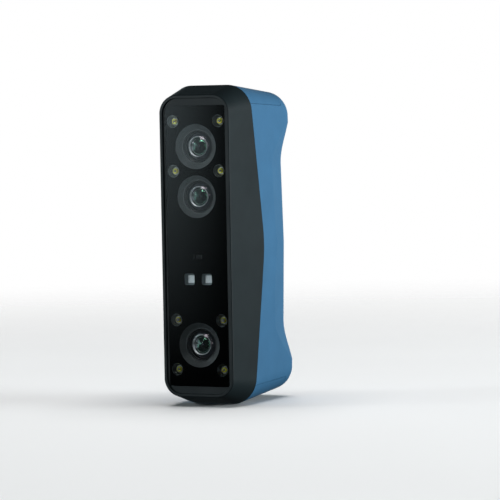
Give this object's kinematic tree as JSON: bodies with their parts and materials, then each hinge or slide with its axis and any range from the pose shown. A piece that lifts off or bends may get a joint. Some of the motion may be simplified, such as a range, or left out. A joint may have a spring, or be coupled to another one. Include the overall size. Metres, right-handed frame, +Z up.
{
  "type": "handheld scanner",
  "caption": "Tall handheld 3-D scanner with a flared black front housing, a scooped blue rear grip, cameras and lamps behind a glass window, and sprung keys on the back.",
  "frame": {"origin": "centre of the bounding box", "axes": "+Z runs up the long axis, -Y is the way the cameras look, +X is the object's side on the right of the cameras' window as seen from in front"},
  "size_m": [0.0482, 0.0686, 0.16],
  "materials": {
    "housing_black": "fine satin texture",
    "case_blue": "fine satin texture",
    "cap_blue": "fine satin texture",
    "cover_glass": "polished",
    "mask_print": "gloss print behind glass",
    "adhesive_black": "matt",
    "hood_black": "dead matt",
    "barrel_black": "black anodised",
    "lens_glass": "coated",
    "holder_black": "moulded",
    "board_green": "solder mask",
    "sensor_silicon": "polished",
    "flex_amber": "polyimide film",
    "board_white": "white solder mask",
    "reflector_silver": "vacuum plated",
    "lamp_phosphor": "phosphor",
    "projector_silver": "satin",
    "diffuser_white": "frosted",
    "sensor_black": "moulded",
    "boot_rubber": "matt",
    "bench_aluminium": "milled",
    "connector_white": "moulded",
    "standoff_brass": "turned",
    "shield_steel": "pressed",
    "pad_grey": "soft",
    "sink_aluminium": "anodised",
    "battery_wrap": "heat-shrink film",
    "bracket_black": "moulded",
    "lead_red": "insulated wire",
    "panel_black": "satin",
    "key_grey": "silicone",
    "switch_black": "moulded",
    "light_pipe": "clear moulding",
    "tongue_black": "moulded",
    "screw_steel": "zinc plated"
  },
  "bodies": {
    "case": {"battery_bracket": "bracket_black", "battery_lead": "lead_red", "battery_pack": "battery_wrap", "bench_screws": "screw_steel", "board_connectors": "connector_white", "board_standoffs": "standoff_brass", "bottom_cap": "cap_blue", "camera_board_lower": "board_green", "camera_board_middle": "board_green", "camera_board_upper": "board_green", "camera_flexes": "flex_amber", "camera_holder_lower": "holder_black", "camera_holder_middle": "holder_black", "camera_holder_upper": "holder_black", "case_screws": "screw_steel", "cover_glass": "cover_glass", "front_housing": "housing_black", "glass_mask": "mask_print", "heatsink": "sink_aluminium", "image_sensors": "sensor_silicon", "key_board": "board_green", "key_board_screws": "screw_steel", "key_panel": "panel_black", "key_switches": "switch_black", "lamp_board_lower": "board_white", "lamp_board_screws": "screw_steel", "lamp_board_upper": "board_white", "lamp_leds": "lamp_phosphor", "lamp_reflectors": "reflector_silver", "lens_barrel_lower": "barrel_black", "lens_barrel_middle": "barrel_black", "lens_barrel_upper": "barrel_black", "lens_glass_lower": "lens_glass", "lens_glass_middle": "lens_glass", "lens_glass_upper": "lens_glass", "lens_hood_lower": "hood_black", "lens_hood_middle": "hood_black", "lens_hood_upper": "hood_black", "main_board": "board_green", "main_board_screws": "screw_steel", "optical_bench": "bench_aluminium", "processor_shield": "shield_steel", "projector_board": "board_green", "projector_diffusers": "diffuser_white", "projector_housings": "projector_silver", "proximity_sensor": "sensor_black", "rear_shell": "case_blue", "sensor_boot": "boot_rubber", "status_light": "light_pipe", "thermal_pad": "pad_grey", "top_cap": "cap_blue", "tripod_insert": "standoff_brass", "usb_shell": "shield_steel", "usb_tongue": "tongue_black", "window_adhesive": "adhesive_black", "wireless_antennas": "flex_amber"},
    "plus": {"plus_key": "key_grey"},
    "scan": {"scan_key": "key_grey"},
    "minus": {"minus_key": "key_grey"},
    "power": {"power_key": "key_grey"}
  },
  "joints": [
    {"name": "plus_press", "type": "slide", "parent": "case", "child": "plus", "axis": [0, -1, 0], "range_m": [0, 0.0005], "stiffness_N_per_m": 4000},
    {"name": "scan_press", "type": "slide", "parent": "case", "child": "scan", "axis": [0, -1, 0], "range_m": [0, 0.0005], "stiffness_N_per_m": 4000},
    {"name": "minus_press", "type": "slide", "parent": "case", "child": "minus", "axis": [0, -1, 0], "range_m": [0, 0.0005], "stiffness_N_per_m": 4000},
    {"name": "power_press", "type": "slide", "parent": "case", "child": "power", "axis": [0, -1, 0], "range_m": [0, 0.0005], "stiffness_N_per_m": 4000}
  ]
}
